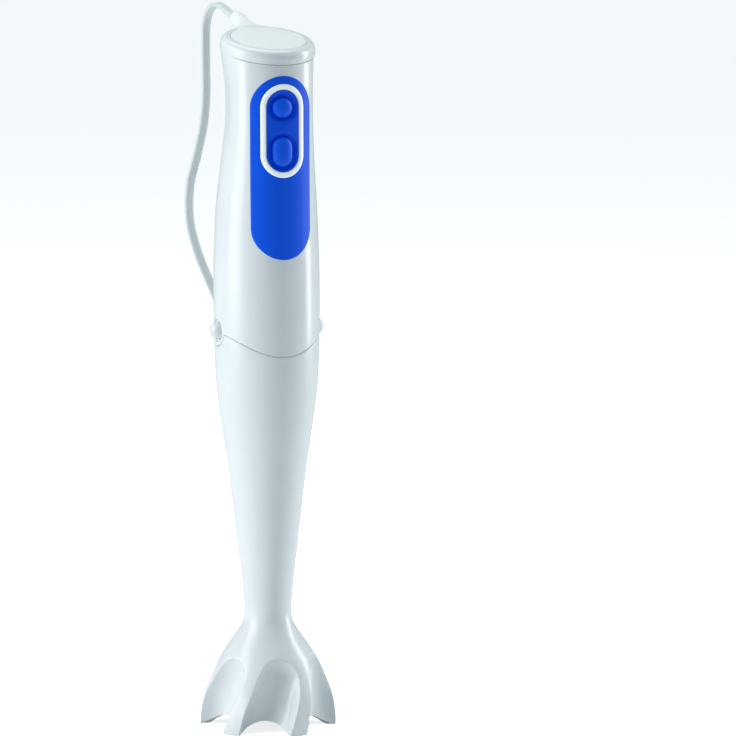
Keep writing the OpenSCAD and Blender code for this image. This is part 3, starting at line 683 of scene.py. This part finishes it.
def footHeight(angle, radius, s):
    # the arch between two feet
    side = math.degrees(math.atan(s["fluteSide"] / s["fluteAxisR"]))
    turn = np.degrees(angle) - s["fluteDirection"] - side
    turn = np.radians((turn + 30) % 60 - 30)
    aside = radius * np.sin(turn)
    arch = s["archHeight"] - s["archR"] + np.sqrt(np.maximum(s["archR"] ** 2 - aside ** 2, 0))
    return smoothMax(arch, np.zeros_like(arch), 0.7)


def makeShaft(s):
    wall = s["wall"]
    heights = [0.3, 0.8] + list(np.arange(1.5, 44, 0.6)) + list(np.arange(44, 70, 2)) \
        + list(np.arange(70, 184, 4)) + list(np.arange(185, 201.6, 1.1))
    outer = [(float(outerLine(z)), float(z)) for z in heights]
    outline = [(34.45, 0.0)] + outer + [(26.45, 201.75), (26.1, 202.0), (23.2, 202.0), (23.2, 197.0),
                                        (23.2, 190.0), (23.2, 185.0), (23.2, 172.0), (22.8, 172.0)]
    outline += [(float(outerLine(z)) - wall, float(z)) for z in np.arange(168, 69, -6)]
    outline += [(10.2, 68.0), (6.0, 68.0), (6.0, 46.0), (11.0, 46.0), (13.6, 45.8), (15.2, 45.1)]
    outline += [(float(outerLine(z)) - wall, float(z)) for z in np.arange(44, 0.9, -1.2)]
    outline += [(32.4, 0.3), (32.75, 0.0), (34.45, 0.0)]
    piece = spinShape("shaftHousing", outline, s["steps"])

    def shape(x, y, z):
        r, a = np.hypot(x, y), np.arctan2(y, x)
        inner = r < outerLine(z) - wall / 2
        low = z < 50
        radius = r.copy()
        for group, grow in ((low & ~inner, 0.0), (low & inner & (z < 45.9) & (r > 7), wall)):
            radius[group] = flutedRadius(a[group], z[group], r[group], grow, s)
        foot = footHeight(a, radius, s)
        lifted = np.where(z < 22, foot + z * (22 - foot) / 22, z)
        seam = seamHeight(radius * np.sin(a), s) - s["seamGap"]
        lifted = np.where(z > 185, 185 + (z - 185) * (seam - 185) / 17, lifted)
        return radius * np.cos(a), radius * np.sin(a), lifted
    moveVertices(piece, shape)
    setRightSideOut(piece)
    return finish(piece, whitePlastic, "blending_shaft", "shaft_housing", angle=50)


makeShaft(shaftSettings)
print("blending shaft made")


bladeSettings = {"length": 37.0, "width": 9.6, "thickness": 1.5, "height": 11.2, "turn": 25.0}


def makeBlade(s):
    bpy.ops.object.select_all(action="DESELECT")
    bpy.ops.mesh.primitive_cube_add(size=1, location=(0, 0, 0), scale=(s["length"], s["width"], s["thickness"]))
    piece = bpy.context.object
    piece.name = piece.data.name = "bladeWings"
    bpy.ops.object.transform_apply(location=False, rotation=False, scale=True)
    bpy.ops.object.mode_set(mode="EDIT")
    bpy.ops.mesh.select_all(action="SELECT")
    bpy.ops.mesh.subdivide(number_cuts=40)
    bpy.ops.object.mode_set(mode="OBJECT")

    def shape(x, y, z):
        t = np.abs(x) / (s["length"] / 2)
        wing = np.sign(x)
        lead = y * wing                 # the leading edge is on opposite sides of the two wings
        width = 1 - 0.42 * smoothStep(t, 0.2, 1.0) + 0.35 * np.exp(-(t / 0.3) ** 2)
        thin = 1 - 0.85 * smoothStep(lead, s["width"] * 0.22, s["width"] * 0.5) * smoothStep(t, 0.28, 0.4)
        y2 = y * width
        z2 = z * thin
        twist = np.radians(16) * smoothStep(t, 0.25, 0.6) * wing
        c, sn = np.cos(twist), np.sin(twist)
        y3, z3 = y2 * c - z2 * sn, y2 * sn + z2 * c
        z3 = z3 + np.where(x > 0, 3.2, -2.4) * smoothStep(t, 0.4, 1.05)
        a = math.radians(s["turn"])
        return x * math.cos(a) - y3 * math.sin(a), x * math.sin(a) + y3 * math.cos(a), z3 + s["height"]
    moveVertices(piece, shape)
    setRightSideOut(piece)
    return finish(piece, brightSteel, "drive_shaft", "blade", angle=40)


makeBlade(bladeSettings)
print("blade made")


handleSettings = {
    "wall": 2.4, "steps": 300,
    "fullFrom": 38, "fullTo": 95,       # degrees from the front over which the fuller front fades out
    "tilt": 15.0, "ringY": -2.2, "ringZ": 342.3,
    "releaseZ": 203.0, "releaseR": 4.3, "releaseRecess": 5.9, "releaseFloor": 25.4,
    "speedZ": 315.3, "turboZ": 293.4, "buttonR": 5.3, "ovalExtra": 4.8,
    "panelR": 15.75, "panelLow": 239.9, "panelHigh": 331.1,
    "ringR": 11.3, "ringBand": 2.45, "ringLow": 280.7, "ringHigh": 327.0,
}
sideLine = curveThrough([
    (185, 26.3), (197, 26.55), (207, 26.7), (228, 26.8), (240, 26.6), (250, 26.2), (259, 25.75), (268, 25.1),
    (275, 24.3), (283, 23.3), (293, 22.1), (303, 20.75), (311, 20.25), (318, 20.2), (325, 20.45), (332, 21.2),
    (338, 22.1), (344, 22.8), (350, 23.0)])
frontLine = curveThrough([
    (185, 26.3), (207, 26.6), (228, 26.5), (246, 26.0), (262, 25.6), (280, 25.4), (300, 25.35), (325, 25.3),
    (338, 25.1), (350, 24.9)])
rearLine = curveThrough([
    (185, 26.3), (207, 26.7), (228, 26.8), (250, 26.2), (268, 25.1), (283, 23.2), (293, 22.0), (303, 20.75),
    (311, 20.2), (320, 20.0), (332, 20.0), (342, 20.3), (350, 20.4)])


def handleRadius(angle, z, s=handleSettings):
    # round at the bottom; further up the front stays full while the sides and the back draw in
    fromFront = np.degrees(np.arccos(np.clip(-np.sin(angle), -1, 1)))
    full = 1 - smoothStep(fromFront, s["fullFrom"], s["fullTo"])
    back = smoothStep(fromFront, 95, 165)
    side = sideLine(z)
    return side + (frontLine(z) - side) * full + (rearLine(z) - side) * back


def frontDepth(x, z):
    # how far the handle's surface stands towards -Y at a place on its front
    depth = np.full_like(x, 25.0)
    for _ in range(6):
        angle = np.arctan2(-depth, x)
        radius = handleRadius(angle, z)
        depth = np.sqrt(np.maximum(radius ** 2 - x ** 2, 1))
    return depth


def makeHandle(s):
    wall = s["wall"]
    drum = 30.0                     # spun as a plain drum, then shaped; radius 30 stands for the outer face
    heights = list(np.arange(191.5, 205, 1.1)) + list(np.arange(205, 330, 2.6)) + list(np.arange(330, 349, 1.6))
    outline = [(drum - 0.45, 191.0), (drum - 0.12, 191.12)] + [(drum, float(z)) for z in heights]
    outline += [(drum, 349.0), (drum - wall, 349.0)]
    outline += [(drum - wall, float(z)) for z in np.arange(345, 192, -5)]
    outline += [(drum - wall, 191.0), (drum - 0.45, 191.0)]
    piece = spinShape("handleShell", outline, s["steps"])

    def shape(x, y, z):
        depth, a = drum - np.hypot(x, y), np.arctan2(y, x)
        bottom = seamHeight((26.5 - depth) * np.sin(a), shaftSettings)
        z = np.where(z < 205, 205 - (205 - z) * (205 - bottom) / 14, z)
        top = s["ringZ"] - 0.1 + math.tan(math.radians(s["tilt"])) \
            * ((handleRadius(a, np.full_like(a, 342.0)) - depth) * np.sin(a) - s["ringY"])
        z = np.where(z > 330, 330 + (z - 330) * (top - 330) / 19, z)
        r = handleRadius(a, z) - depth
        return r * np.cos(a), r * np.sin(a), z
    moveVertices(piece, shape)
    setRightSideOut(piece)

    opening = stadiumShape("opening", [(0.01, 40), (8.55, 40), (8.55, 12), (0.01, 12)],
                           s["ringLow"] + s["ringR"] - 8.55, s["ringHigh"] - s["ringR"] + 8.55, 96, 4)
    cutAway(piece, opening)
    for side in (-1, 1):
        hole, dish, floor = s["releaseR"] + 0.3, s["releaseRecess"], s["releaseFloor"]
        outline = [(0.01, 20), (hole, 20), (hole, floor), (dish - 0.3, floor), (dish, floor + 0.3), (dish, 32),
                   (0.01, 32)]
        recess = spinShape("recess", outline, 72)
        moveVertices(recess, lambda x, y, z: (side * z, y, x + s["releaseZ"]))
        setRightSideOut(recess)
        cutAway(piece, recess)
    return finish(piece, whitePlastic, "motor_handle", "handle_shell", angle=40)


def onFront(piece, flat=False):
    # lays a stadium shape on the handle's curved front; its Y becomes the height over the surface
    def rule(x, y, z):
        depth = frontDepth(np.zeros_like(x) if flat else x, z)
        return x, y - depth, z
    moveVertices(piece, rule)
    setRightSideOut(piece, 0.002)


def stadiumRows(radius, top, bottom, rows):
    # closed outline of a plate with a rounded upper edge
    inner = [(radius * i / rows, top) for i in range(rows)]
    edge = [(radius - 0.45, top), (radius - 0.2, top - 0.06), (radius - 0.05, top - 0.2),
            (radius, top - 0.45), (radius, bottom)]
    return inner + edge + [(radius * i / rows, bottom) for i in range(rows - 1, -1, -1)]


def prism(name, radius, low, high, near, far):
    return stadiumShape(name, [(0.01, near), (radius, near), (radius, far), (0.01, far)], low, high, 96, 2)


def makePanel(s):
    panel = stadiumShape("gripPanel", stadiumRows(s["panelR"], 0.22, -0.9, 14),
                         s["panelLow"], s["panelHigh"], 96, 40)
    onFront(panel)
    cutAway(panel, prism("ringHole", s["ringR"] - 0.05, s["ringLow"] + 0.05, s["ringHigh"] - 0.05, 40, 5))
    return finish(panel, blueGrip, "motor_handle", "grip_panel")


def makeButtonRing(s):
    inner, outer = s["ringR"] - s["ringBand"], s["ringR"]
    outline = [(inner, -1.6), (inner, 0.2), (inner + 0.12, 0.42), (inner + 0.4, 0.58), (inner + 0.9, 0.66),
               (outer - 0.9, 0.66), (outer - 0.4, 0.58), (outer - 0.12, 0.42), (outer, 0.2), (outer, -1.6),
               (inner, -1.6)]
    ring = stadiumShape("buttonRing", outline, s["ringLow"], s["ringHigh"], 120, 30)
    onFront(ring)
    return finish(ring, ringPlastic, "motor_handle", "button_ring")


def buttonDistance(x, z, s):
    # distance from the middle of the nearer button, measured from the oval one's middle line
    half = s["ovalExtra"] / 2
    toSpeed = np.hypot(x, z - s["speedZ"])
    toTurbo = np.hypot(x, np.maximum(np.abs(z - s["turboZ"]) - half, 0))
    return np.minimum(toSpeed, toTurbo)


def makePlate(s):
    radius = s["ringR"] - s["ringBand"] - 0.04
    low, high = s["ringLow"] + s["ringR"] - radius, s["ringHigh"] - s["ringR"] + radius
    plate = stadiumShape("buttonPlate", stadiumRows(radius, 0.0, -3.4, 20), low, high, 120, 60)

    def dish(x, y, z):
        near = buttonDistance(x, z, s)
        sunk = 2.1 * (1 - smoothStep(near, s["buttonR"] + 0.1, s["buttonR"] + 2.9))
        return x, np.where(y < 0.5, y + sunk, y), z
    moveVertices(plate, dish)
    onFront(plate)
    clear = s["buttonR"] + 0.22
    cutAway(plate, prism("speedHole", clear, s["speedZ"] - clear, s["speedZ"] + clear, 40, 5))
    reach = clear + s["ovalExtra"] / 2
    cutAway(plate, prism("turboHole", clear, s["turboZ"] - reach, s["turboZ"] + reach, 40, 5))
    return finish(plate, bluePlate, "motor_handle", "button_plate")


def makeFrontButton(name, middle, extra, body, node, s):
    r = s["buttonR"]
    dome = [(0.01, 0.75), (1.2, 0.7), (2.2, 0.56), (3.1, 0.3), (3.9, -0.1), (4.5, -0.55), (4.95, -1.1),
            (5.2, -1.7),
            (r, -2.4), (r, -4.6), (r + 0.9, -4.7), (r + 0.9, -5.6), (0.01, -5.7)]
    button = stadiumShape(name, dome, middle - r - 0.9 - extra / 2, middle + r + 0.9 + extra / 2, 96, 6)
    onFront(button, flat=True)
    return finish(button, blueButton, body, node)


def makeReleaseButton(name, side, body, node, s):
    r = s["releaseR"]
    dome = [(0.01, 30.35), (0.9, 30.27), (1.7, 30.03), (2.5, 29.6), (3.2, 29.0), (3.75, 28.3), (4.1, 27.5),
            (4.27, 26.7), (r, 26.0), (r, 23.4), (5.4, 23.4), (5.4, 21.0), (0.01, 21.0)]
    button = spinShape(name, dome, 64)
    moveVertices(button, lambda x, y, z: (side * z, y, x + s["releaseZ"]))
    setRightSideOut(button)
    return finish(button, whitePlastic, body, node)


makeHandle(handleSettings)
makePanel(handleSettings)
makeButtonRing(handleSettings)
makePlate(handleSettings)
makeFrontButton("speedButton", handleSettings["speedZ"], 0.0, "speed_key", "speed_button", handleSettings)
makeFrontButton("turboButton", handleSettings["turboZ"], handleSettings["ovalExtra"], "turbo_key",
                "turbo_button", handleSettings)
makeReleaseButton("leftRelease", -1, "left_release", "release_button_left", handleSettings)
makeReleaseButton("rightRelease", 1, "right_release", "release_button_right", handleSettings)
print("handle casing and buttons made")


def tiltTop(piece, s=handleSettings):
    def rule(x, y, z):
        t = math.radians(s["tilt"])
        return (x, y * math.cos(t) - z * math.sin(t) + s["ringY"],
                y * math.sin(t) + z * math.cos(t) + s["ringZ"])
    moveVertices(piece, rule)
    setRightSideOut(piece)


topSettings = {"outer": 23.8, "inner": 16.8, "capR": 18.8, "seat": 4.2, "capTop": 7.5, "crown": 0.6}


def makeTop(s):
    outer, inner, capR, seat = s["outer"], s["inner"], s["capR"], s["seat"]
    arc = [(outer - 4 + 4 * math.cos(math.radians(a)), 2.5 + 4.2 * math.sin(math.radians(a)))
           for a in range(0, 85, 7)]
    outline = [(inner, 0.0), (outer - 0.75, 0.0), (outer - 0.3, 0.12), (outer, 0.5)] + arc
    outline += [(capR + 0.32, 6.72), (capR + 0.17, 6.5), (capR + 0.17, seat), (inner, seat), (inner, 0.0)]
    ring = spinShape("topRing", outline, 160)
    tiltTop(ring)
    finish(ring, whitePlastic, "motor_handle", "top_ring")
    dome = [(max(capR * i / 12, 0.01), s["capTop"] - s["crown"] * (i / 12) ** 2) for i in range(12)]
    rim = [(capR - 0.45, 6.8), (capR - 0.16, 6.7), (capR, 6.45), (capR, seat), (0.01, seat)]
    cap = spinShape("topCap", dome + rim, 160)
    tiltTop(cap)
    finish(cap, capPlastic, "motor_handle", "top_cap")


guardSettings = {
    "start": 4.0, "collar": 36.6, "end": 43.3,
    "capY": 3.99, "capZ": 348.96,        # the middle of the cap's top, towards the buttons and up
}


def makeGuard(s):
    # a wing that carries the cap's slope on to the rear, drawn in to a round collar
    collar, end = s["collar"], s["end"]
    stations = list(np.arange(s["start"], collar - 0.5, 0.8))
    stations += [collar - 0.3, collar - 0.1, collar + 0.1, collar + 0.35, 38, 39.5, 41, 42,
                 end - 0.6, end - 0.25, end]
    outline = [(0.01, stations[0])] + [(10.0, float(v)) for v in stations] \
        + [(8.6, end), (8.4, end - 0.3), (8.4, end - 3), (0.01, end - 3)]
    guard = spinShape("cordGuard", outline, 96)
    halfWidth = curveThrough([
        (4, 12.0), (8, 13.2), (12, 13.1), (15, 12.4), (19, 10.3), (23, 7.9), (27, 5.7), (30, 4.6), (33, 4.0),
        (36, 3.6), (end, 3.35)])
    slope = math.tan(math.radians(handleSettings["tilt"]))
    plane = s["capZ"] + s["capY"] * slope
    sunk = [(4, 0.8), (9, 0.35), (13, 0.1), (17, 0.8), (22, 1.8)]      # how far below the cap's plane
    topLine = curveThrough([(back, plane + back * slope - down) for back, down in sunk]
                           + [(27, 355.3), (31, 356.8), (35, 358.5), (38, 359.3), (end, 360.35)])
    lowLine = curveThrough([
        (4, 344.0), (10, 345.2), (15, 347.6), (19, 349.2), (25, 350.4), (31, 350.9), (36, 351.8),
        (end, 353.65)])

    def shape(x, y, z):
        r, a = np.hypot(x, y) / 10, np.arctan2(y, x)
        raised = 0.42 * (smoothStep(z, collar - 0.3, collar + 0.3) - 0.7 * smoothStep(z, end - 0.7, end))
        high, low = topLine(z), lowLine(z)
        tall, wide = (high - low) / 2 + raised, halfWidth(z) + raised
        power = 0.42 + 0.58 * smoothStep(z, 17, 34)
        across, up = roundedBox(a, power, wide, tall)
        return across * r, z - up * r * 0.22, (high + low) / 2 + up * r
    moveVertices(guard, shape)
    setRightSideOut(guard)
    return finish(guard, capPlastic, "motor_handle", "cord_guard", angle=50)


makeTop(topSettings)
cordGuard = makeGuard(guardSettings)
print("top and cord guard made")


studioSettings = {
    "worldTint": (0.7, 0.91, 1.0), "worldStrength": 0.25,
    "lights": (
        # name, aside, back, height, width, tall, watts
        ("keyFromLeft", -1.5, -0.5, 0.7, 1.0, 1.6, 20.5),
        ("stripFromRight", 1.35, 0.35, 0.45, 0.35, 1.5, 13),
        ("fromAbove", 0.0, 0.3, 2.0, 1.4, 1.4, 16),
    ),
}


def whiteForCamera(tree, strength):
    # the floor and the air look white, but give only the light that they should
    path = tree.nodes.new("ShaderNodeLightPath")
    return mathNode(tree, "MULTIPLY", path.outputs["Is Camera Ray"], strength)


def makeStudio(s):
    bpy.ops.mesh.primitive_circle_add(vertices=96, radius=14, fill_type="NGON", location=(0, 0, 0))
    floor = bpy.context.object
    floor.name = "studioFloor"
    material, tree, shader = startMaterial("paleFloor")
    shader.inputs["Base Color"].default_value = (0.86, 0.88, 0.89, 1)
    shader.inputs["Roughness"].default_value = 0.8
    shader.inputs["Emission Color"].default_value = (1, 1, 1, 1)
    tree.links.new(whiteForCamera(tree, 0.74), shader.inputs["Emission Strength"])
    floor.data.materials.append(material)

    world = bpy.data.worlds.new("studio")
    world.use_nodes = True
    tree = world.node_tree
    air = tree.nodes["Background"]
    air.inputs["Color"].default_value = (*s["worldTint"], 1)
    air.inputs["Strength"].default_value = s["worldStrength"]
    seen = tree.nodes.new("ShaderNodeBackground")
    mix = tree.nodes.new("ShaderNodeMixShader")
    tree.links.new(whiteForCamera(tree, 1.0), mix.inputs["Fac"])
    tree.links.new(air.outputs["Background"], mix.inputs[1])
    tree.links.new(seen.outputs["Background"], mix.inputs[2])
    tree.links.new(mix.outputs["Shader"], tree.nodes["World Output"].inputs["Surface"])
    seen.inputs["Color"].default_value = (1, 1, 1, 1)
    bpy.context.scene.world = world

    for name, aside, back, height, width, tall, watts in s["lights"]:
        place = viewRight * aside + viewBack * back + Vector((0, 0, height))
        bpy.ops.object.light_add(type="AREA", location=place)
        lamp = bpy.context.object
        lamp.name = name
        lamp.data.shape = "RECTANGLE"
        lamp.data.size, lamp.data.size_y = width, tall
        lamp.data.energy = watts
        lamp.rotation_euler = (Vector((0, 0, 0.2)) - place).to_track_quat("-Z", "Y").to_euler()
    bpy.context.scene.view_settings.view_transform = "Standard"


makeStudio(studioSettings)
print("studio made")
